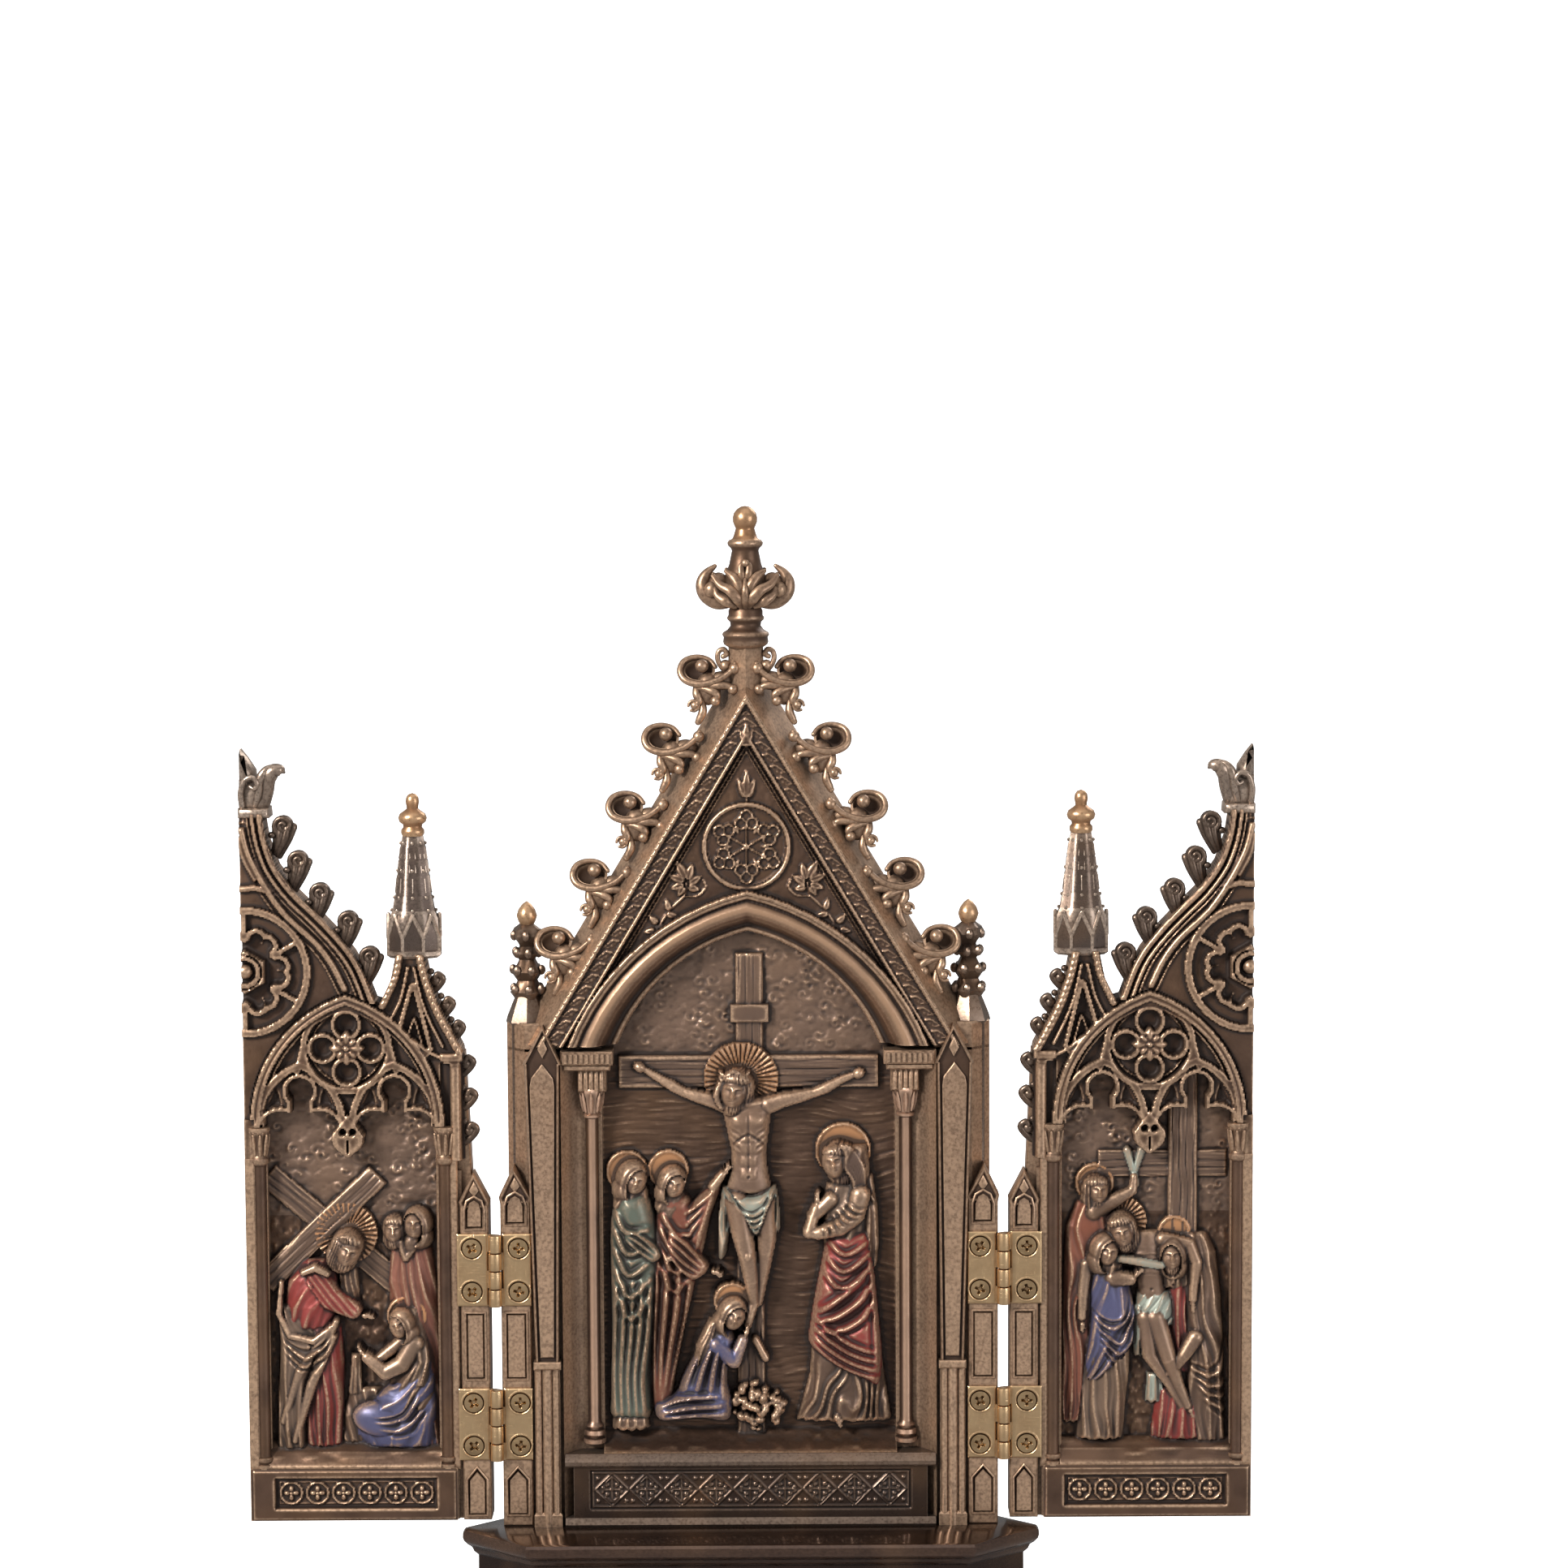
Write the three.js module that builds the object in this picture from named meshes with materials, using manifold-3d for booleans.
// A table-top Gothic triptych in cold-cast bronze: a gabled shrine on a shaped base, with two hinged wings.
// Millimetres. X runs across, Z up, and the front looks towards -Y. The origin is under the middle of the base.
import * as THREE from 'three';
import { mergeVertices } from 'three/addons/utils/BufferGeometryUtils.js';
import Module from 'manifold-3d';

const wasm = await Module();
wasm.setup();

// Driving dimensions. "Proud" means the distance in front of the plane of the hinge pilasters.
const FACE_Y = 1.7;
const BASE = {
  height: 32, shelfDrop: 5, footHeight: 10, tip: 65.7, corner: 50.5, halfDepth: 15, tipFlat: 1.25, inset: 3.7,
};
const SHRINE = {
  half: 54.8, back: -12.8, front: -2.5, chamfer: 4.2, top: 147, recess: -8, recessHalf: 33.2,
  floor: 48.7, ground: 52.9, ledge: 46, capital: 141.2,
};
const GABLE = {
  apex: 221.8, foot: 44.9, footZ: 147, level: 142.6, proud: 1, coping: 5.1, copingBack: -8, band: 4, sunk: -1.2,
};
const ARCH = { half: 40, spring: 142.3, apex: 177.1, radius: 57, inner: 0.735 };
const PILASTER = { inner: 49.3, outer: 56.2, back: -8.5, shoulder: 107.4, apex: 115, gabletBack: -5 };
const WING = {
  inner: 59, outer: 114.1, bottom: 33.4, back: -8.5, recess: -6, left: 70.6, right: 109.8, floor: 48.6,
};
const HINGE = {
  x: 57.6, y: 0.25, barrel: 1.45, bore: 1.05, pin: 0.75, leaf: 0.7, inner: 49.5, outer: 66.3, height: 16.6,
  knuckles: 4, gap: 0.2, levels: [91.5, 55.8], screwX: 5.3, screwZ: 5,
};
const SCREW = { head: 2.2, rise: 0.35, shank: 0.85, length: 5, hole: 1.3 };

const castBronze = new THREE.MeshStandardMaterial({ color: 0x6b5547, roughness: 0.42, metalness: 0.7 });
const darkBronze = new THREE.MeshStandardMaterial({ color: 0x3a2a22, roughness: 0.25, metalness: 0.5 });
const brass = new THREE.MeshStandardMaterial({ color: 0x9c8455, roughness: 0.4, metalness: 0.95 });
const screwBrass = new THREE.MeshStandardMaterial({ color: 0x8d7548, roughness: 0.45, metalness: 0.95 });

// Solids and outlines

function solid(geometry) {
  const bare = geometry.clone();
  bare.deleteAttribute('normal');
  bare.deleteAttribute('uv');
  const merged = mergeVertices(bare, 1e-4);
  return new wasm.Manifold(new wasm.Mesh({
    numProp: 3,
    vertProperties: new Float32Array(merged.attributes.position.array),
    triVerts: new Uint32Array(merged.index.array),
  }));
}

const join = (solids) => solids.reduce((sum, next) => sum.add(next));

function meshOf(name, body, material) {
  const { vertProperties, triVerts } = filled(body).getMesh();
  const geometry = new THREE.BufferGeometry();
  geometry.setAttribute('position', new THREE.BufferAttribute(vertProperties, 3));
  geometry.setIndex(new THREE.BufferAttribute(triVerts, 1));
  geometry.computeVertexNormals();
  const mesh = new THREE.Mesh(geometry, material);
  mesh.name = name;
  return mesh;
}

// The solid without its sealed hollows, whose shells enclose a negative volume.
const filled = (body) => join(body.decompose().filter((shell) => shell.volume() > 0));

// The same solid on the other side of the middle plane: X changes sign and each triangle turns round.
function mirrored(body) {
  const { vertProperties, triVerts } = body.getMesh();
  const positions = vertProperties.map((value, i) => (i % 3 === 0 ? -value : value));
  const turned = triVerts.map((value, i) => triVerts[i - (i % 3) + [0, 2, 1][i % 3]]);
  return new wasm.Manifold(new wasm.Mesh({ numProp: 3, vertProperties: positions, triVerts: turned }));
}

const bothSides = (body) => body.add(mirrored(body));
const yAt = (proud) => FACE_Y - proud;
const points = (list) => list.map(([a, b]) => new THREE.Vector2(a, b));
const box = (x0, x1, z0, z1) => points([[x0, z0], [x1, z0], [x1, z1], [x0, z1]]);

// A corner moved to the right of the way its line runs, so that both its sides move by the distance.
function mitred(before, corner, after, distance) {
  const into = corner.clone().sub(before).normalize();
  const out = after.clone().sub(corner).normalize();
  const mitre = new THREE.Vector2(into.y + out.y, -into.x - out.x).normalize();
  return corner.clone().addScaledVector(mitre, distance / (mitre.x * out.y - mitre.y * out.x));
}

// Moves every side of a closed outline outwards by a distance.
function offset(outline, distance) {
  const way = Math.sign(THREE.ShapeUtils.area(outline)) * distance;
  return outline.map((corner, i) => mitred(outline.at(i - 1), corner, outline[(i + 1) % outline.length], way));
}

// An open line beside another one, to its right.
function parallel(line, distance) {
  const straight = (end, next) => end.clone().multiplyScalar(2).sub(next);
  return line.map((corner, i) => {
    const before = line[i - 1] ?? straight(corner, line[i + 1]);
    const after = line[i + 1] ?? straight(corner, line[i - 1]);
    return mitred(before, corner, after, distance);
  });
}

// Points on the circular arc from a to b that bulges to the left of the way it runs, with b left out.
function arc(a, b, radius, steps) {
  const [ax, az] = a;
  const [bx, bz] = b;
  const half = Math.hypot(bx - ax, bz - az) / 2;
  const lift = Math.sqrt(radius * radius - half * half);
  const nx = (bz - az) / (2 * half);
  const nz = -(bx - ax) / (2 * half);
  const cx = (ax + bx) / 2 + nx * lift;
  const cz = (az + bz) / 2 + nz * lift;
  const start = Math.atan2(az - cz, ax - cx);
  const turn = 2 * Math.asin(half / radius);
  return Array.from({ length: steps }, (_, i) => {
    const angle = start - (turn * i) / steps;
    return [cx + radius * Math.cos(angle), cz + radius * Math.sin(angle)];
  });
}

// A pointed arch from its left foot over the apex to its right foot.
function pointedArch(x, half, spring, apex, radius, steps) {
  const left = arc([-half, spring], [0, apex], radius, steps);
  const right = left.map(([u, z]) => [-u, z]).reverse();
  return points([...left, [0, apex], ...right].map(([u, z]) => [x + u, z]));
}

const circle = (x, z, radius, sides) => Array.from({ length: sides }, (_, i) => {
  const angle = (2 * Math.PI * (i + 0.5)) / sides;
  return new THREE.Vector2(x + radius * Math.cos(angle), z + radius * Math.sin(angle));
});

// An outline seen from the front, made solid between two depths.
function slab(outline, back, front) {
  const geometry = new THREE.ExtrudeGeometry(new THREE.Shape(outline), { depth: front - back, bevelEnabled: false });
  return solid(geometry.rotateX(Math.PI / 2).translate(0, yAt(back), 0));
}

// The same, where the outline shrinks towards a centre as it comes forward; levels are [proud, scale].
function tapered(outline, levels, x, z) {
  const steps = levels.length - 1;
  const geometry = new THREE.ExtrudeGeometry(new THREE.Shape(outline), { depth: 1, steps, bevelEnabled: false });
  const place = geometry.attributes.position;
  for (let i = 0; i < place.count; i += 1) {
    const [proud, scale] = levels[Math.round(place.getZ(i) * steps)];
    place.setXYZ(i, x + (place.getX(i) - x) * scale, yAt(proud), z + (place.getY(i) - z) * scale);
  }
  return solid(geometry);
}

// A raised border that follows an outline on its inside.
const border = (outline, width, back, front) => slab(outline, back, front)
  .subtract(slab(offset(outline, -width), back - 1, front + 1));

// An outline of [x, proud] seen from above, made solid between two heights.
function upright(plan, bottom, top) {
  const shape = new THREE.Shape(points(plan.map(([x, proud]) => [x, yAt(proud)])));
  const geometry = new THREE.ExtrudeGeometry(shape, { depth: top - bottom, bevelEnabled: false });
  return solid(geometry.translate(0, 0, bottom));
}

// A moulding of section [proud, z] that runs across from x0 to x1.
function rail(section, x0, x1) {
  const shape = new THREE.Shape(points(section));
  const geometry = new THREE.ExtrudeGeometry(shape, { depth: x1 - x0, bevelEnabled: false });
  const place = geometry.attributes.position;
  for (let i = 0; i < place.count; i += 1) {
    place.setXYZ(i, x1 - place.getZ(i), yAt(place.getX(i)), place.getY(i));
  }
  return solid(geometry);
}

// A turned piece: profile of [radius, z] round an upright axis.
function turned(profile, x, proud, sides, widen = 1) {
  const geometry = new THREE.LatheGeometry(points(profile), sides, Math.PI / sides);
  return solid(geometry.rotateX(Math.PI / 2).scale(1, widen, 1).translate(x, yAt(proud), 0));
}

// An ellipsoid with half sizes across, up and in depth.
function ball(x, z, proud, across, up = across, deep = across, sides = 5) {
  const geometry = new THREE.SphereGeometry(1, sides, 4);
  return solid(geometry.rotateX(Math.PI / 2).scale(across, deep, up).translate(x, yAt(proud), z));
}

// A rounded rod between two [x, z, proud] points, tapering from one radius to the other.
function limb(from, to, r0, r1 = r0, sides = 5) {
  const a = new THREE.Vector3(from[0], yAt(from[2]), from[1]);
  const b = new THREE.Vector3(to[0], yAt(to[2]), to[1]);
  const length = a.distanceTo(b);
  const profile = points([[0, -r0 * 0.8], [r0, 0], [r1, length], [0, length + r1 * 0.8]]);
  const geometry = new THREE.LatheGeometry(profile, sides);
  const turn = new THREE.Quaternion().setFromUnitVectors(new THREE.Vector3(0, 1, 0), b.clone().sub(a).normalize());
  return solid(geometry.applyQuaternion(turn).translate(a.x, a.y, a.z));
}

// Drapery: a closed tube through stations of [x, z, half width, half depth], from the top down. Its wall is
// rippled into folds that deepen towards the hem.
function drapery(stations, proud, folds, ripple, sides = 8) {
  const rows = stations.length - 1;
  const geometry = new THREE.CylinderGeometry(1, 1, 1, sides, rows);
  const place = geometry.attributes.position;
  for (let i = 0; i < place.count; i += 1) {
    const row = Math.round((0.5 - place.getY(i)) * rows);
    const [x, z, across, deep] = stations[row];
    const angle = Math.atan2(place.getZ(i), place.getX(i));
    const wave = 1 + ripple * ((row + 1) / (rows + 1)) * Math.cos(folds * angle);
    place.setXYZ(i, x + place.getX(i) * across * wave, yAt(proud) - place.getZ(i) * deep * wave, z);
  }
  return solid(geometry);
}

// Keeps what stands in front of a relief's back wall, and a little behind it as a root.
const rooted = (body, wall) => body.intersect(slab(box(-130, 130, 30, 200), wall - 0.8, 6));

const halo = (x, z, front, radius) => slab(circle(x, z, radius, 9), front - 4, front);

// A squared timber between two [x, z] points.
function timber(from, to, width, back, front) {
  const along = new THREE.Vector2(to[0] - from[0], to[1] - from[1]).normalize().multiplyScalar(width / 2);
  const [nx, nz] = [-along.y, along.x];
  return slab(points([
    [from[0] + nx, from[1] + nz], [from[0] - nx, from[1] - nz], [to[0] - nx, to[1] - nz], [to[0] + nx, to[1] + nz],
  ]), back, front);
}

// Base

function shelfPlan(grow) {
  const tip = BASE.tip + grow;
  const corner = BASE.corner + grow * 0.42;
  const depth = BASE.halfDepth + grow;
  const side = [[corner, -depth], [tip, -BASE.tipFlat], [tip, BASE.tipFlat], [corner, Math.min(depth, BASE.halfDepth)]];
  return [...side, ...side.map(([x, y]) => [-x, y]).reverse()].map(([x, y]) => [x, yAt(0) - y]);
}

function plinth() {
  const { height, shelfDrop, footHeight, inset } = BASE;
  const layers = [
    [-inset, 0, height],
    [0, height - 2.6, height],
    [-1.2, height - 3.6, height - 2.6],
    [-2.4, height - shelfDrop, height - 3.6],
    [-1.6, 0, footHeight - 3],
    [-2.8, footHeight - 3, footHeight],
  ];
  const body = join(layers.map(([grow, bottom, top]) => upright(shelfPlan(grow), bottom, top)));
  const front = BASE.halfDepth - inset + FACE_Y;
  const pitch = 13.2;
  const teeth = [-3, -2, -1, 0, 1, 2, 3].map((i) => {
    const x = i * pitch;
    const gablet = points([[x - 5.4, footHeight + 0.8], [x + 5.4, footHeight + 0.8], [x, height - shelfDrop - 1]]);
    return border(gablet, 1.2, front - 0.5, front + 0.7);
  });
  return join([body, ...teeth]);
}

// Shrine

function shrineBody() {
  const { half, back, front, chamfer, top } = SHRINE;
  const plan = [[half, back], [half, front - chamfer], [half - chamfer, front]];
  const body = upright([...plan, ...plan.map(([x, proud]) => [-x, proud]).reverse()], BASE.height, top);
  return body;
}

// The gable's triangle, cut level at the capitals and grown by a distance square to its slopes.
function gableOutline(grow) {
  const lean = GABLE.foot / (GABLE.apex - GABLE.footZ);
  const apex = GABLE.apex + grow / Math.sin(Math.atan(lean));
  const half = lean * (apex - GABLE.level);
  return points([[-half, GABLE.level], [half, GABLE.level], [0, apex]]);
}

function gable() {
  const { proud, coping, copingBack, band, sunk } = GABLE;
  const front = new THREE.Shape(gableOutline(0));
  const bevel = { depth: 1, bevelSize: coping, bevelThickness: proud - copingBack, bevelSegments: 1 };
  const geometry = new THREE.ExtrudeGeometry(front, bevel).rotateX(Math.PI / 2);
  const bevelled = solid(geometry.translate(0, yAt(copingBack - 1), 0));
  const waste = slab(box(-70, 70, 100, GABLE.level), -40, 10).add(slab(box(-70, 70, 100, 250), -60, copingBack));
  const block = bevelled.subtract(waste).add(slab(gableOutline(coping), SHRINE.back, copingBack));
  const pocket = slab(gableOutline(-band - 1.1), sunk, proud + 1);
  const strip = (outer, width) => slab(gableOutline(-outer), sunk, proud + 0.5)
    .subtract(slab(gableOutline(-outer - width), sunk - 1, proud + 2));
  const level = slab(box(-70, 70, GABLE.level - 1, GABLE.level + 1.4), sunk - 2, 5);
  return join([block.subtract(pocket), strip(0, 0.9).add(strip(band, 1.1)).subtract(level)]);
}

// The band between the gable's two mouldings carries a row of small upright leaves on each side.
function gableLeaves() {
  const { apex, foot, footZ, band, proud } = GABLE;
  const count = 7;
  const leaves = [];
  const slope = Math.atan2(foot, apex - footZ);
  for (let i = 1; i <= count; i += 1) {
    const t = (i + 0.2) / (count + 1);
    const x = foot * t - (band / 2 + 0.4) * Math.cos(slope);
    const z = apex - (apex - footZ) * t - (band / 2 + 0.4) * Math.sin(slope);
    const leaf = points([[x - 1.5, z - 1.6], [x + 1.5, z - 1.6], [x, z + 2.2]]);
    leaves.push(tapered(leaf, [[proud - 0.2, 1], [proud + 0.5, 0.3]], x, z));
  }
  return bothSides(join(leaves));
}

function rose(x, z, proud) {
  const ring = slab(circle(x, z, 10.2, 14), GABLE.sunk, proud).subtract(slab(circle(x, z, 9, 14), 0, proud + 1));
  const petals = Array.from({ length: 6 }, (_, i) => {
    const angle = Math.PI / 2 + (i * Math.PI) / 3;
    return slab(circle(x + 5.4 * Math.cos(angle), z + 5.4 * Math.sin(angle), 2.3, 5), GABLE.sunk + 0.4, proud);
  });
  return petals.reduce((body, petal) => body.subtract(petal), ring);
}

function tympanumLeaves() {
  const spray = [[-13.4, 181, 1.8, 2.8], [-16, 177.6, 2.8, 1.6]];
  const corner = join(spray.map(([x, z, across, up]) => ball(x, z, GABLE.sunk, across, up, 1, 5)));
  const spear = limb([0, 198.5, GABLE.sunk], [0, 203, GABLE.sunk], 0.6, 1.4, 4);
  return join([corner, mirrored(corner), spear]);
}

function arch() {
  const { half, spring, apex, radius, inner } = ARCH;
  const outline = pointedArch(0, half, spring, apex, radius, 5);
  const opening = tapered(outline, [[-6, inner], [-3.2, inner], [-0.2, 0.86], [1.6, 1]], 0, spring);
  const deep = tapered(outline, [[SHRINE.recess, inner], [-5, inner]], 0, spring);
  const roll = slab(offset(outline, 1.2), 0, 1.6).subtract(slab(outline, -1, 3));
  const tidy = slab(box(-60, 60, 120, spring), -20, 20);
  return { opening: opening.add(deep), roll: roll.subtract(tidy) };
}

// The opening below the arch, with a hollow splay on each side between the buttress and the column.
function recess() {
  const { recess: deep, recessHalf, floor, capital } = SHRINE;
  const splay = [[42.4, 3], [42.4, 0.6], [40.6, -2.6], [39.4, -4], [38.4, -5], [recessHalf, -5], [recessHalf, deep]];
  return upright([...splay, ...splay.map(([x, proud]) => [-x, proud]).reverse()], floor, capital - 0.5);
}

const GROUND = [[-9, 47], [0.4, 47], [0.4, SHRINE.floor], [-5, 51], [-8, SHRINE.ground], [-9, SHRINE.ground]];

function column(x, proud, radius, bottom, top, sides) {
  const profile = [
    [0, bottom], [radius + 1.1, bottom], [radius + 1.1, bottom + 2.2], [radius, bottom + 4.6],
    [radius, top - 6.4], [radius + 0.9, top - 5.8], [radius + 0.1, top - 4.8], [radius + 1.3, top - 1], [radius + 1.3, top], [0, top],
  ];
  return turned(profile, x, proud, sides);
}

// Fluted block and abacus over each column of the shrine.
function capital() {
  const { capital: top } = SHRINE;
  const block = slab(box(33, 38.2, 132, 137.6), -7, -2.2);
  const flutes = [34.4, 36.1].map((x) => slab(box(x, x + 0.8, 133, 138), -2.6, 0));
  const abacus = slab(box(31.4, 41.6, 136.9, 138.2), SHRINE.recess, 0);
  const plate = slab(box(30.8, 42, 138.2, top), SHRINE.recess, 0.5);
  return join([block.subtract(flutes[0]).subtract(flutes[1]), abacus, plate]);
}

function buttress() {
  const foot = 69.5;
  const gablet = points([[43.6, foot], [48.5, foot], [50.4, 138.6], [50.8, 138.6], [46.3, 147.5], [42.2, 138.6], [42.7, 138.6]]);
  const panel = points([[44.7, foot + 3], [47.4, foot + 3], [48.7, 136.4], [46.4, 141], [44.1, 136.4]]);
  const body = slab(gablet, SHRINE.back + 4, 1.4).subtract(slab(panel, 0.9, 3));
  const rib = [[0, BASE.height], [1.1, BASE.height], [1.1, foot], [0, foot]];
  const ribs = [44.6, 48].map((x) => turned(rib, x, -0.3, 6));
  const core = slab(box(43.8, 48.8, BASE.height, foot), SHRINE.back + 4, -0.4);
  return join([body, core, ...ribs]);
}

// A pilaster that carries the hinges, with a gablet on top. It is as deep as the wing, and its gablet is thinner.
function hingePilaster() {
  const { inner, outer, back, shoulder, apex, gabletBack } = PILASTER;
  const middle = (inner + outer) / 2;
  const body = slab(box(inner, outer, BASE.height, shoulder + 0.2), back, 0);
  const gablet = points([
    [inner, shoulder - 4], [outer, shoulder - 4], [outer + 0.4, shoulder], [middle + 0.5, apex], [inner, shoulder + 1.6],
  ]);
  const head = slab(gablet, gabletBack, 0).subtract(slab(offset(gablet, -1), -0.5, 1));
  const panels = [[66, 81.6], [BASE.height + 2, 46]].map(([bottom, top]) => slab(box(inner + 1.5, outer - 0.7, bottom, top), -0.4, 1));
  return panels.reduce((left, panel) => left.subtract(panel), body.add(head));
}

// An octagonal corner turret with a knobbed pinnacle that ends in a bud.
function pinnacle() {
  const profile = [
    [0, 138], [4.85, 138], [4.85, 147.6], [2.6, 152.6], [3.6, 154.6], [2.1, 156.6], [3.4, 159], [1.7, 162],
    [3.3, 166.4], [1.5, 168.4], [2.3, 171.4], [0, 174.6],
  ];
  return turned(profile, 50.1, -8.4, 8);
}

// A crocket: a stem out of the coping's edge, a curled leaf like a cup and a ball in it.
function crocket(x, z) {
  const cup = [[0, z - 4.6], [1.6, z - 3.4], [3.9, z - 0.8], [1.7, z + 0.2], [1.6, z + 1.8], [0, z + 2.5]];
  return turned(cup, x, -5.2, 5).add(limb([x - 5.8, z - 7.2, -5.6], [x - 0.6, z - 3.2, -5.2], 2.4, 1.4, 4));
}

function crockets() {
  const first = new THREE.Vector2(9.9, 227.6);
  const last = new THREE.Vector2(43, 166.2);
  const count = 5;
  const row = Array.from({ length: count }, (_, i) => {
    const spot = first.clone().lerp(last, i / (count - 1));
    return crocket(spot.x, spot.y);
  });
  return bothSides(join(row));
}

function finial() {
  const proud = -4.6;
  const profile = [
    [0, 216], [3.6, 220], [4.4, 231.6], [5.4, 233], [5.6, 235.4], [3.8, 237.2], [3.8, 240.8], [5.4, 243.4],
    [3.8, 249.4], [2.8, 254.2], [4, 255.8], [2.3, 258.6], [3, 261.2], [2, 263.4], [0, 264],
  ];
  const leaves = [0, 90, 180, 270].map((degrees) => {
    const turn = (degrees * Math.PI) / 180;
    return ball(6.9 * Math.cos(turn), 246, proud + 5.4 * Math.sin(turn), 3.4, 4, 3);
  });
  return join([turned(profile, 0, proud, 8), ...leaves]);
}

// The predella: a ledge over a sunk panel with a row of lozenges.
function predella() {
  const { ledge, floor } = SHRINE;
  const block = slab(box(-40.2, 40.2, BASE.height, ledge), SHRINE.recess, 1).subtract(slab(box(-36.5, 36.5, 35.9, 45.1), 0.1, 3));
  const shelf = slab(box(-42.2, 42.2, ledge, floor - 0.4), SHRINE.recess, 1.6);
  const count = 9;
  const lozenges = Array.from({ length: count }, (_, i) => {
    const x = (i - (count - 1) / 2) * 7.9;
    const outline = points([[x - 3.7, 40.5], [x, 36.4], [x + 3.7, 40.5], [x, 44.6]]);
    return tapered(outline, [[0, 1], [0.7, 0.25]], x, 40.5);
  });
  return join([block, shelf, rail(GROUND, -38.2, 38.2), ...lozenges]);
}

// The Crucifixion: cross, crucified figure and four mourners. The figures grow out of the back of the recess.

const WALL = SHRINE.recess;

function cross() {
  return join([
    slab(box(-2.8, 3.3, 52, 162.8), WALL - 1, WALL + 1.6),
    slab(box(-29.6, 29.6, 132, 139.4), WALL - 1, WALL + 2),
    slab(box(-4, 4.7, 147, 151.3), WALL - 1, WALL + 2.2),
  ]);
}

function crucifiedFigure() {
  const p = WALL + 2;
  return join([
    halo(-1.7, 134, WALL + 2.6, 8.5),
    ball(-3.5, 132.2, p + 1.2, 2.8, 4.6, 2.8, 6),
    limb([-3.6, 127.4, p + 0.6], [-25.2, 135.2, p + 0.4], 1.8, 1),
    limb([3.6, 127.4, p + 0.6], [25.4, 135, p + 0.4], 1.8, 1),
    drapery([[-0.4, 129.4, 3.4, 2], [-0.3, 124, 5.6, 3.6], [-0.5, 111, 4.6, 3.4]], p, 2, 0.02, 7),
    drapery([[-0.6, 111, 5.4, 3.8], [-1.8, 98, 6.6, 3.6]], p, 5, 0.16, 9),
    limb([-2.6, 103, p + 1], [0.4, 92.4, p + 2], 2.6, 2),
    limb([2.6, 103, p + 0.6], [2.4, 82, p], 2.4, 1.4),
    limb([0.4, 92.4, p + 2], [-0.2, 80, p + 0.6], 2, 1.5),
  ]);
}

function greenMourner() {
  const p = WALL + 0.6;
  return join([
    halo(-27.7, 112.9, WALL + 1.4, 4.6),
    ball(-26, 111.6, p + 1.4, 2.5, 3.6, 3.2),
    drapery([[-27, 109.6, 2.6, 3.4], [-26.7, 102, 4.9, 5], [-26.4, 78, 5.4, 5.6], [-27, 53, 4.6, 5]], p, 4, 0.13),
    limb([-24.6, 96.4, p + 4.4], [-19.6, 91.6, p + 4.6], 1.7, 1, 4),
  ]);
}

function redMourner() {
  const p = WALL + 0.4;
  return join([
    halo(-18.6, 112.9, WALL + 1.6, 4.6),
    ball(-17.3, 110.4, p + 1.6, 2.4, 3.5, 3.2),
    drapery([[-17.6, 107.6, 2.6, 3.2], [-16.4, 101, 4.6, 4.8], [-18.4, 56, 3, 3.8]], p, 4, 0.14),
    limb([-13, 103.6, p + 1.8], [-4.6, 113.2, p + 2.6], 2.1, 0.8, 4),
    limb([-15, 97, p + 4], [-8.2, 90.2, p + 4], 1.7, 0.9, 4),
    slab(box(-23.4, -18.6, 54, 100), WALL - 1, WALL + 1.4),
  ]);
}

function kneelingMourner() {
  const p = WALL + 1;
  return join([
    halo(-3.8, 82.2, WALL + 2.6, 3.8),
    ball(-3.8, 80.2, p + 2.4, 2.6, 3.4, 2.8),
    drapery([[-7.4, 77.4, 2.8, 4], [-9.8, 70, 5, 5.2], [-13, 53, 8, 5.8]], p, 4, 0.12),
    limb([-7.4, 73.4, p + 4.4], [-2, 71.4, p + 4], 1.8, 1.2, 4),
    limb([-16.6, 55.6, p + 4], [-7, 55.4, p + 4], 2.4, 2.4),
  ]);
}

function prayingYouth() {
  const p = WALL + 0.8;
  return join([
    halo(21.5, 117.4, WALL + 1.4, 6.3),
    ball(20.4, 115.4, p + 1.8, 3.2, 4, 3.4),
    limb([22.6, 115.4, p + 1.6], [24, 107, p + 2], 2.2, 1.6, 4),
    drapery([[21, 111.8, 2.8, 3.4], [21.5, 102, 5, 5], [21.8, 64, 7.4, 6]], p, 4, 0.1),
    drapery([[21.4, 66, 6.4, 5], [21.4, 53.6, 8.6, 5.2]], p - 0.4, 5, 0.14, 10),
    limb([19, 104.4, p + 3.6], [12.8, 99.4, p + 3], 1.8, 1.2, 4),
    limb([12.8, 99.4, p + 3], [15.8, 107.6, p + 2.6], 1.2, 0.8, 4),
  ]);
}

function rockPile() {
  return join([[0, 56, 3.4], [4, 57, 3.4]].map(([x, z, size]) => ball(x, z, WALL + 2, size, size, 3.2)));
}

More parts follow.
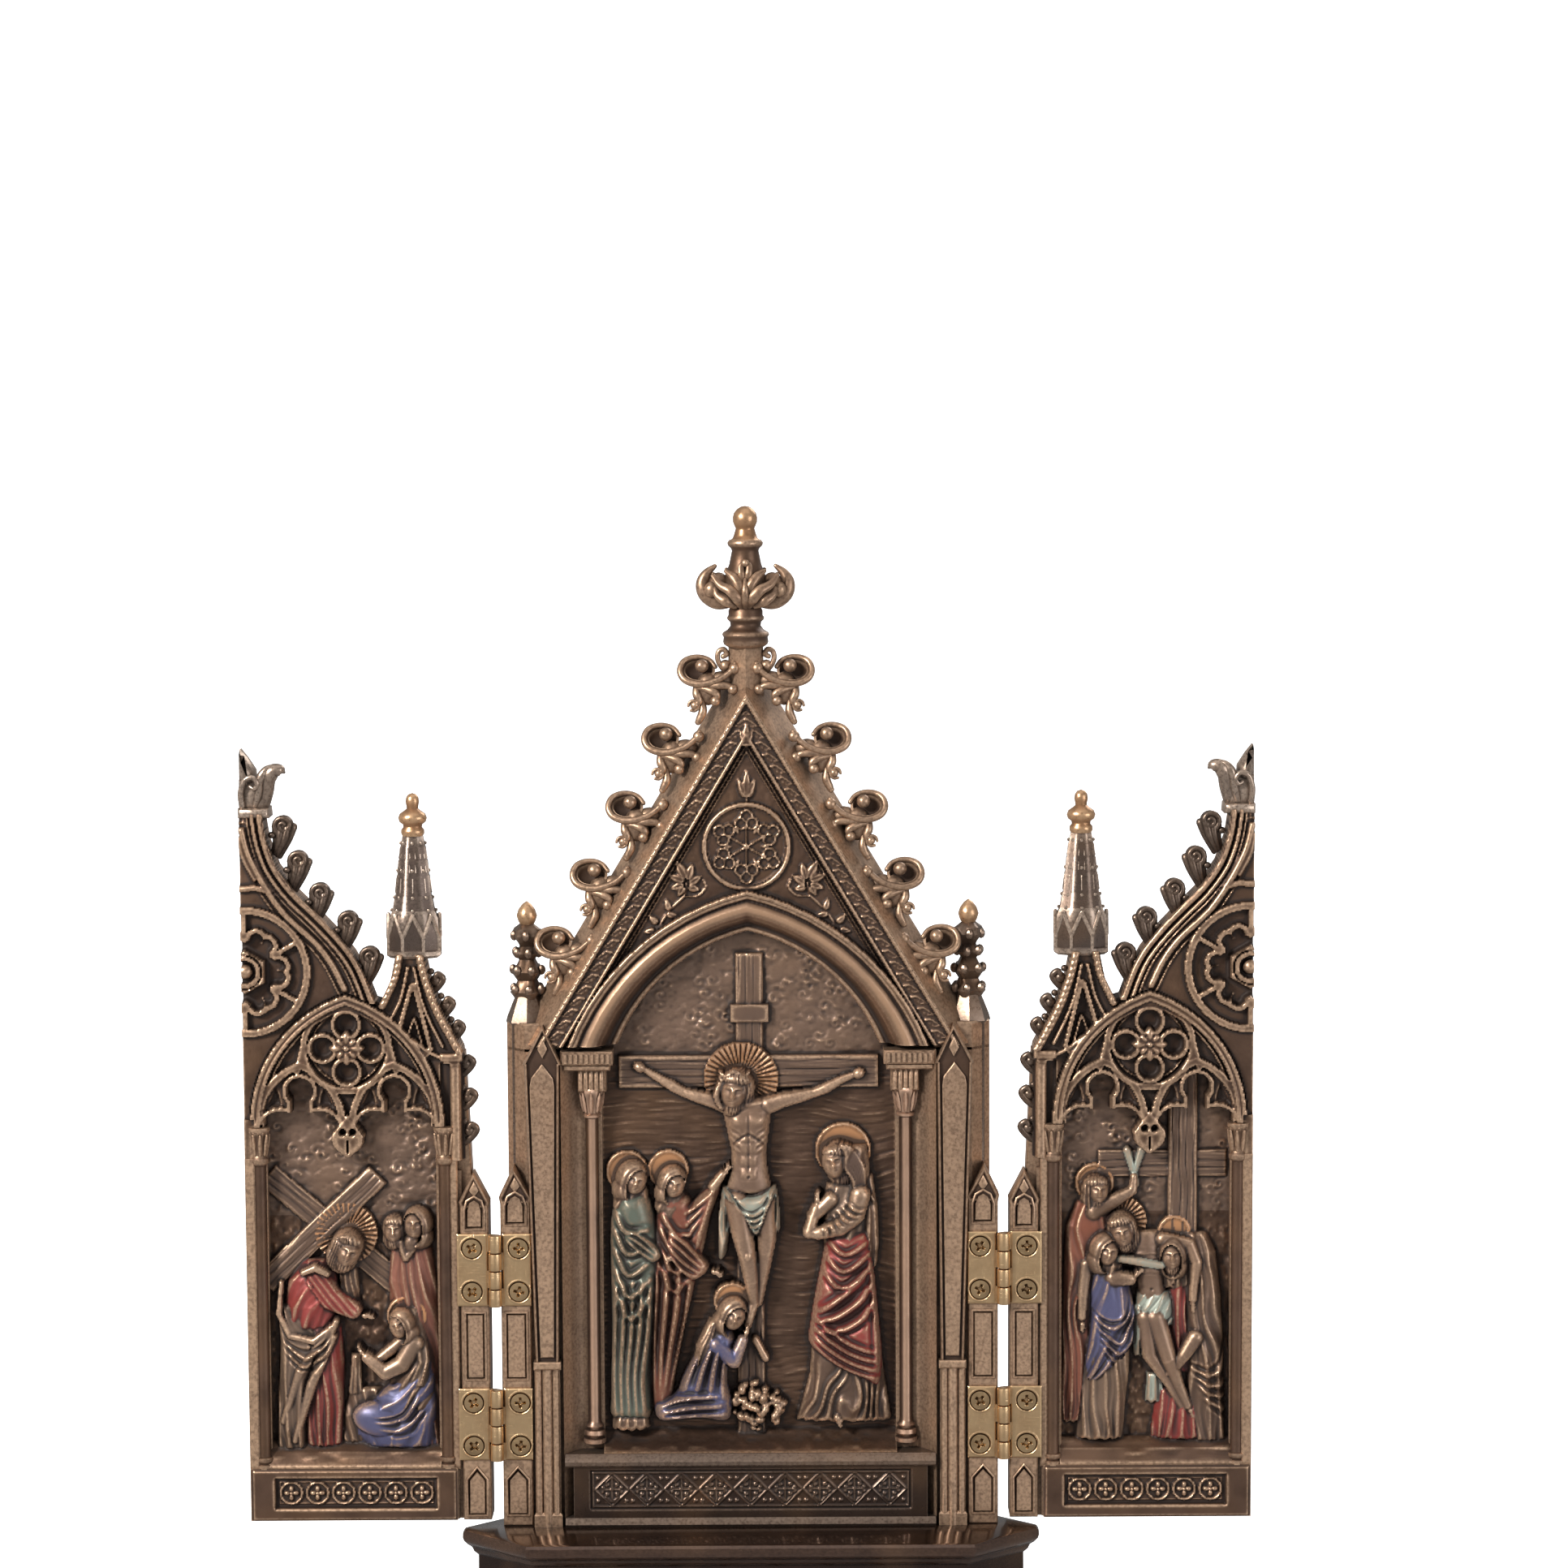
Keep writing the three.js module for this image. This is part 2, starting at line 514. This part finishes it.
function shrine() {
  const opening = arch();
  const body = join([shrineBody(), gable()]);
  const hollow = body.subtract(recess()).subtract(opening.opening).add(predella());
  const side = join([column(35.6, -4.4, 1.5, 50, 132.4, 6), capital(), buttress(), hingePilaster(), pinnacle()]);
  const figures = join([
    cross(), crucifiedFigure(), greenMourner(), redMourner(), kneelingMourner(), prayingYouth(), rockPile(),
  ]);
  const work = join([
    hollow, opening.roll, gableLeaves(), rose(0, 187.7, 0.4), tympanumLeaves(), crockets(), finial(),
    bothSides(side),
    rooted(figures, WALL),
  ]);
  const backPanel = slab(points([[-46, 38], [46, 38], [46, 140], [0, 208], [-46, 140]]), SHRINE.back - 1, SHRINE.back + 0.8);
  return work.subtract(backPanel);
}

// Wings

// The concave-then-convex line of the half gable, from the collar under the spike down to the turret.
const OGEE = new THREE.SplineCurve(points([
  [108.8, 195], [107.7, 188.5], [102.2, 178.4], [92.8, 168.8], [86.6, 159.6], [84, 152],
])).getPoints(8);

const TURRET = { x: 75.3, proud: -4 };

function wingPlate() {
  const { inner, outer, bottom, back } = WING;
  const outline = [
    ...points([[inner, bottom], [outer, bottom], [outer, 196]]), ...OGEE,
    ...points([[80.4, 158], [79.2, 163], [71.6, 163], [70, 157], [66.6, 149.5], [63, 141], [62, 112], [inner, 112]]),
  ];
  const middle = (inner + 66.6) / 2;
  const above = slab(box(inner - 1, 66.7, 106.4, 112), -40, 3);
  const gablet = points([[inner - 0.4, 106.4], [66.3, 107.6], [middle - 0.4, 114.4]]);
  const head = slab(gablet, -5, 0).subtract(slab(offset(gablet, -1), -0.5, 1));
  const shaft = slab(box(62.4, 70.4, 100, 140), back, -1.2);
  return slab(outline, back, 0).subtract(above).add(shaft).add(head);
}

// Two lights with keyhole heads, cut to the full depth of the recess, and the pendant between them.
function wingLights() {
  const { left, right, floor, recess: deep } = WING;
  const springing = 124.8;
  const middle = 90.9;
  const heads = [left + 10.1, right - 9.5].map((x) => {
    const lower = pointedArch(x, 8.4, springing - 1, springing + 4.4, 9.4, 2);
    const neck = slab(box(x - 1.6, x + 1.6, 126, 131.4), deep, 3);
    return join([slab(lower, deep, 3), slab(circle(x, 132.6, 3.1, 6), deep, 3), neck]);
  });
  const hall = slab(box(left, right, floor - 4, springing), deep, 3);
  const pendant = points([[middle - 4, 125], [middle + 4, 125], [middle + 3, 121.6], [middle, 118.2], [middle - 3, 121.6]]);
  return { cut: join([hall, ...heads]), hanging: slab(pendant, -4, 0.3) };
}

// Above the lights: the great arch and the quatrefoil in its ring.
function wingTracery() {
  const [x, z, spring] = [90.7, 142.3, 124.8];
  const great = pointedArch(x, 21.8, spring, 154.7, 31, 4);
  const below = slab(box(50, 120, 110, spring), -9, 9);
  const band = slab(great, -1, 0.8).subtract(slab(offset(great, -2), -3, 3)).subtract(below);
  const sunk = slab(offset(great, -2), -1.6, 3).subtract(below);
  const ring = slab(circle(x, z, 10.2, 12), -2, 0.5).subtract(slab(circle(x, z, 8.9, 12), -1, 3));
  const lobes = [0, 90, 180, 270].map((degrees) => {
    const angle = (degrees * Math.PI) / 180;
    return slab(circle(x + 5.2 * Math.cos(angle), z + 5.2 * Math.sin(angle), 2.9, 5), -3.2, 3);
  });
  const foil = lobes.reduce((body, lobe) => body.subtract(lobe), ring);
  const heads = [101.4, 80].map((centre) => slab(pointedArch(centre, 10.4, spring, 139.4, 16, 2), -5, 0).subtract(below));
  return { sunk, raised: join([...heads, band, foil]) };
}

// Half a rose window, its middle on the wing's outer edge.
function halfRose() {
  const [x, z] = [WING.outer, 159.8];
  const ring = slab(circle(x, z, 14.7, 16), -1, 0.6).subtract(slab(circle(x, z, 12.9, 16), -2, 3));
  const foil = [[109.6, 166], [106.2, 160], [109.6, 154]].map(([cx, cz]) => slab(circle(cx, cz, 3.6, 5), -2, 0.4)
    .subtract(slab(circle(cx, cz, 2.4, 5), -1.6, 3)));
  return join([ring, ...foil]).intersect(slab(box(90, WING.outer, 140, 180), -3, 3));
}

// The half gable's mouldings follow the ogee line at two distances inside it.
function ogeeMouldings() {
  const strip = (from, to, front) => slab([...parallel(OGEE, -from), ...parallel(OGEE, -to).reverse()], -1.6, front);
  const below = points([[90.7, 150], [112.3, 126], [WING.outer + 1, 126], [WING.outer + 1, 194]]);
  const field = slab([...parallel(OGEE, -2.2), ...below], -1, 3);
  return { field, raised: strip(0, 2.2, 0.9).add(strip(4.3, 5.8, 0.2)) };
}

// Spike and curled leaf over the collar at the top of the outer edge.
function wingSpike() {
  const { outer, back } = WING;
  const spike = slab(points([[outer, 196], [108.5, 196], [107.4, 202], [110.4, 205.3], [outer - 0.2, 210]]), back + 1, -1);
  const leaf = join([
    limb([109.6, 197, -2], [107.8, 203.4, -1.4], 2, 1.8),
    limb([107.8, 203.4, -1.4], [104.4, 206, -1.4], 1.7, 0.7),
  ]);
  const collar = slab(box(107.8, outer, 194.6, 196.8), back, 0.8);
  return join([spike, leaf, collar]).intersect(slab(box(90, outer, 150, 230), back, 5));
}

// Curled crockets up the half gable, and small ones down the side of the turret's buttress.
function wingCrockets() {
  const curls = [[104.4, 192.9, 2.4], [101.1, 185, 2.4], [96.3, 177.7, 2.4], [90, 172, 2.4], [85.8, 164.4, 2.2]];
  const upper = curls.map(([x, z, size]) => {
    const disc = slab(circle(x, z, size, 6), -6, -1.6);
    return disc.add(limb([x + 2, z - 6, -3.8], [x - 0.4, z - 1.4, -3.8], 1.4, 1.6, 4));
  });
  const lower = [[69.2, 158], [67.2, 152.4], [64.6, 146.6], [62.8, 139], [62.4, 131.4], [62, 123.6]];
  return join([...upper, ...lower.map(([x, z]) => slab(circle(x, z, 2, 4), -6.5, -3))]);
}

// Octagonal turret: drum, tiled cone, neck ring, bulb and ball, over a pointed recess between two raking shafts.
function wingTurret() {
  const { x, proud } = TURRET;
  const profile = [
    [0, 160], [6.6, 163], [6.6, 169.6], [4.2, 174.6], [2, 190.4], [2.4, 192], [3.3, 194.2], [1.5, 196.4], [1.2, 198.2], [0, 198.7],
  ];
  const arms = [[68.8, 149.6], [81.4, 151.6]].map(([foot, z]) => limb([x + Math.sign(foot - x) * 2, 162, 0], [foot, z, -0.4], 0.9, 0.9, 4));
  const lancet = points([[x, 158.6], [x - 4.2, 146], [x - 1.2, 141], [x + 3.6, 146]]);
  return { body: join([turned(profile, x, proud, 8), ...arms]), lancet: slab(lancet, -1, 3) };
}

// The block under the relief, its panel of roundels, and the sloping ground over it.
function wingPredella() {
  const { left, right, outer, bottom, recess: deep, floor } = WING;
  const block = slab(box(66.9, outer, bottom, 45), -6, 0.7).subtract(slab(box(71.8, 108.1, 36.6, 43.1), -0.3, 3));
  const count = 6;
  const roundels = Array.from({ length: count }, (_, i) => slab(circle(75.1 + i * 5.94, 40, 2.6, 5), -1, 0.2));
  const ground = rail([[deep - 1, 44], [0, 44], [0, 45.6], [deep, floor + 0.4], [deep - 1, floor + 0.4]], left - 0.5, right + 0.5);
  return join([block, ground, ...roundels]);
}

// One wing without its relief figures, for the right-hand side.
function wingFrame() {
  const { inner, outer, bottom } = WING;
  const tracery = wingTracery();
  const lights = wingLights();
  const ogee = ogeeMouldings();
  const turret = wingTurret();
  const groove = slab(box(66.1, 66.8, bottom - 1, 139), -1.2, 3);
  const plate = wingPlate().subtract(ogee.field).subtract(tracery.sunk).subtract(groove).subtract(turret.lancet);
  const panels = [[66, 81.6], [bottom + 1.4, 45.6]].map(([z0, z1]) => slab(box(inner + 1.3, 64.6, z0, z1), -0.4, 1));
  const shaft = slab(box(66.9, 69.6, 45, 139.2), -2, -0.3).add(slab(box(66.2, 70.2, 137.4, 139.6), -3, 0.5));
  const sides = [column(111, -1.7, 1.3, 45, 124.3, 6), column(69, -1.6, 1.2, 45, 124.3, 6)];
  const dressed = join([plate, shaft, tracery.raised, ogee.raised, halfRose()]).subtract(lights.cut);
  const whole = join([dressed, lights.hanging, ...sides, wingPredella(), wingSpike(), wingCrockets(), turret.body]);
  const rear = slab(points([[68, 38], [109, 38], [109, 150], [104, 160], [72, 134]]), WING.back - 1, WING.back + 0.6);
  const trim = slab(box(50, outer, 0, 300), -30, 8);
  return [rear, ...panels].reduce((body, cut) => body.subtract(cut), whole).intersect(trim);
}

// Left wing: the figure with the crossed timbers, the kneeling woman with the cloth, and two onlookers.
function leftScene() {
  const back = WING.recess;
  const p = back + 0.4;
  return join([
    timber([-107.3, 115.5], [-79.9, 85.1], 5.7, back - 1, back + 2),
    timber([-109, 89.8], [-82.6, 112.9], 5.7, back - 1, back + 1.4),
    halo(-92, 98.4, back + 2.6, 7.1),
    ball(-91.4, 95.6, p + 2, 2.9, 4.1, 2.8),
    drapery([[-97.6, 94.6, 3.6, 3], [-100.4, 82, 7, 5], [-98.8, 47.6, 8.2, 5]], p, 6, 0.13, 11),
    limb([-98.6, 86.6, p + 3.6], [-84.4, 78.8, p + 3.4], 2.6, 0.9, 4),
    halo(-78.8, 79.6, back + 2.6, 4.4),
    ball(-80, 77.8, p + 2, 2.3, 3.3, 2.6),
    drapery([[-78.4, 75.8, 2.4, 3.2], [-78, 66, 5, 4.8], [-82.4, 47.6, 8.8, 5]], p, 4, 0.12),
    limb([-79.6, 71, p + 4], [-89.2, 69.4, p + 3], 1.4, 0.9, 4),
    ball(-80.9, 99.6, p + 0.4, 2, 3, 2.2),
    ball(-76.6, 99.6, p + 0.6, 2, 3, 2.2),
    drapery([[-76.2, 98, 4, 2.2], [-73.4, 47.6, 3.2, 2.4]], p, 4, 0.12),
  ]);
}

// Right wing: the body is carried away from the cross by the veiled woman, the young man and the bearded elder.
function rightScene() {
  const back = WING.recess;
  const p = back + 0.4;
  return join([
    timber([99.4, 129], [99.4, 78], 7, back - 1, back + 1.4),
    timber([79.9, 114.9], [108.7, 114.9], 6.3, back - 1, back + 1.8),
    halo(79, 111.2, back + 1, 4.4),
    ball(79.8, 110.4, p + 0.8, 2.1, 3, 2.2),
    drapery([[77.8, 108, 3.2, 2.4], [74.8, 64, 3.4, 2.4]], p, 4, 0.1, 7),
    halo(85, 101, back + 1.8, 6.1),
    ball(85.2, 98.2, p + 2.6, 2.9, 3, 2.6),
    ball(80.2, 94, p + 3, 2.4, 3.2, 2.4),
    drapery([[81, 91.4, 3.2, 3.6], [82, 80, 5.6, 5], [79.8, 49, 5.6, 4.8]], p, 4, 0.13),
    limb([89, 97, p + 2], [92.8, 84, p + 2.6], 3.5, 3),
    drapery([[93, 85, 3.6, 4.4], [92.6, 71.6, 4, 4.2]], p + 0.2, 4, 0.14),
    limb([94, 74, p + 3], [94.8, 67.4, p + 3.6], 2, 1.6, 4),
    limb([94.8, 67.4, p + 3.6], [100.6, 56.4, p + 3.2], 1.6, 1, 4),
    halo(97.7, 99.2, back + 1.6, 3.6),
    ball(97, 93.6, p + 2, 2.3, 4, 2.8),
    drapery([[99, 91, 3.8, 3.2], [101.6, 79, 6, 4.6], [98.4, 50, 6.6, 4.2]], p, 5, 0.13, 10),
    limb([102.4, 95, p + 2.6], [103.6, 83, p + 3], 1.2, 0.8, 4),
  ]);
}

// Hinges: two leaves with interlocking knuckles round a pin, and blind pilot holes for the screws.

const knuckleHeight = HINGE.height / HINGE.knuckles;

function knuckle(level, index) {
  const bottom = level - HINGE.height / 2 + index * knuckleHeight + HINGE.gap / 2;
  const top = bottom + knuckleHeight - HINGE.gap;
  return turned([[0, bottom], [HINGE.barrel, bottom], [HINGE.barrel, top], [0, top]], HINGE.x, FACE_Y - HINGE.y, 7);
}

const screwSpots = (level) => [-1, 1].flatMap((way) => [-1, 1].map((end) => [HINGE.x + way * HINGE.screwX, level + end * HINGE.screwZ]));

const screwHole = (x, z) => slab(circle(x, z, SCREW.hole, 4), -SCREW.length - 0.5, 3);

function hingeLeaf(level, way) {
  const edge = way < 0 ? HINGE.inner : HINGE.outer;
  const [half, axis] = [HINGE.height / 2, HINGE.x];
  const plate = slab(box(Math.min(edge, axis), Math.max(edge, axis), level - half, level + half), 0, HINGE.leaf);
  const own = Array.from({ length: HINGE.knuckles }, (_, index) => index).filter((index) => (index % 2 === 0) === (way < 0));
  const room = own.map((index) => {
    const other = index + (way < 0 ? 1 : -1);
    const bottom = level - half + other * knuckleHeight - HINGE.gap / 2;
    return slab(box(axis - 1.8, axis + 1.8, bottom, bottom + knuckleHeight + HINGE.gap), -3, 5);
  });
  const bore = turned([[0, 20], [HINGE.bore, 20], [HINGE.bore, 120], [0, 120]], axis, FACE_Y - HINGE.y, 5);
  const body = join([plate.subtract(join(room)), ...own.map((index) => knuckle(level, index))]);
  const holes = screwSpots(level).filter(([x]) => Math.sign(x - axis) === way).map(([x, z]) => screwHole(x, z));
  return [bore, ...holes].reduce((left, tool) => left.subtract(tool), body);
}

function hingePin(level) {
  const half = HINGE.height / 2 - HINGE.gap / 2;
  const profile = [[0, level - half], [HINGE.pin, level - half], [HINGE.pin, level + half], [0, level + half]];
  return turned(profile, HINGE.x, FACE_Y - HINGE.y, 5);
}

function screw(x, z) {
  const { head, rise, shank, length } = SCREW;
  const profile = points([[0, -length], [shank, -length + 1], [shank, 0], [head, 0], [0, rise]]);
  return solid(new THREE.LatheGeometry(profile, 7).rotateX(Math.PI).translate(x, yAt(HINGE.leaf), z));
}

const triptych = new THREE.Group();
const place = (name, body, material) => triptych.add(meshOf(name, body, material));

const pilotHoles = join(HINGE.levels.flatMap((level) => screwSpots(level).map(([x, z]) => screwHole(x, z))));
const allHoles = bothSides(pilotHoles);
const rightFrame = wingFrame();

place('plinth', plinth(), darkBronze);
place('shrine', shrine().subtract(allHoles), castBronze);
place('wing_left', mirrored(rightFrame).add(rooted(leftScene(), WING.recess)).subtract(allHoles), castBronze);
place('wing_right', rightFrame.add(rooted(rightScene(), WING.recess)).subtract(allHoles), castBronze);

for (const [side, turn] of [['left', mirrored], ['right', (body) => body]]) {
  HINGE.levels.forEach((level, row) => {
    const hinge = `${side}_${['upper', 'lower'][row]}`;
    place(`hinge_frame_leaf_${hinge}`, turn(hingeLeaf(level, -1)), brass);
    place(`hinge_wing_leaf_${hinge}`, turn(hingeLeaf(level, 1)), brass);
    place(`hinge_pin_${hinge}`, turn(hingePin(level)), brass);
    screwSpots(level).forEach(([x, z]) => {
      const holder = x < HINGE.x ? 'frame' : 'wing';
      const end = z > level ? 'top' : 'bottom';
      place(`screw_${holder}_${hinge}_${end}`, turn(screw(x, z)), screwBrass);
    });
  });
}

export default triptych;
